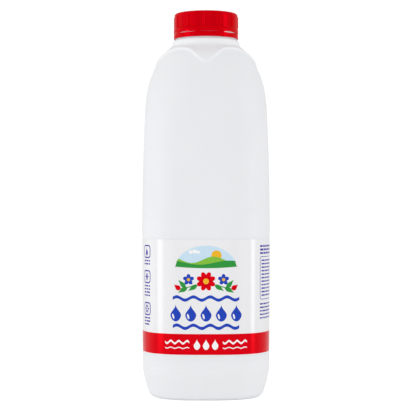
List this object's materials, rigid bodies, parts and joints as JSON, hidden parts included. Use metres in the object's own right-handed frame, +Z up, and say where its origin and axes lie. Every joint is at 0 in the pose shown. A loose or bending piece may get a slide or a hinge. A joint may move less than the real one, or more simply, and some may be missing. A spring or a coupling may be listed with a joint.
{
  "type": "milk bottle",
  "caption": "White rounded-square plastic milk bottle with a ribbed red screw cap on its tamper band and a printed film label wrapped round the body; stands upright, full and shut.",
  "frame": {"origin": "middle of the base, on the surface that the bottle stands on", "axes": "+Z up along the bottle's axis, the front of the label faces -Y, +X to the right of the front"},
  "size_m": [0.079, 0.079, 0.2355],
  "materials": {
    "bottle_hdpe": "blow-moulded white polyethylene, soft semi-gloss",
    "label_film": "white printed polypropylene film, semi-gloss",
    "cap_red": "injection-moulded red polyethylene, glossy"
  },
  "bodies": {
    "root": {"bottle": "bottle_hdpe", "label": "label_film", "cap": "cap_red"}
  },
  "joints": []
}
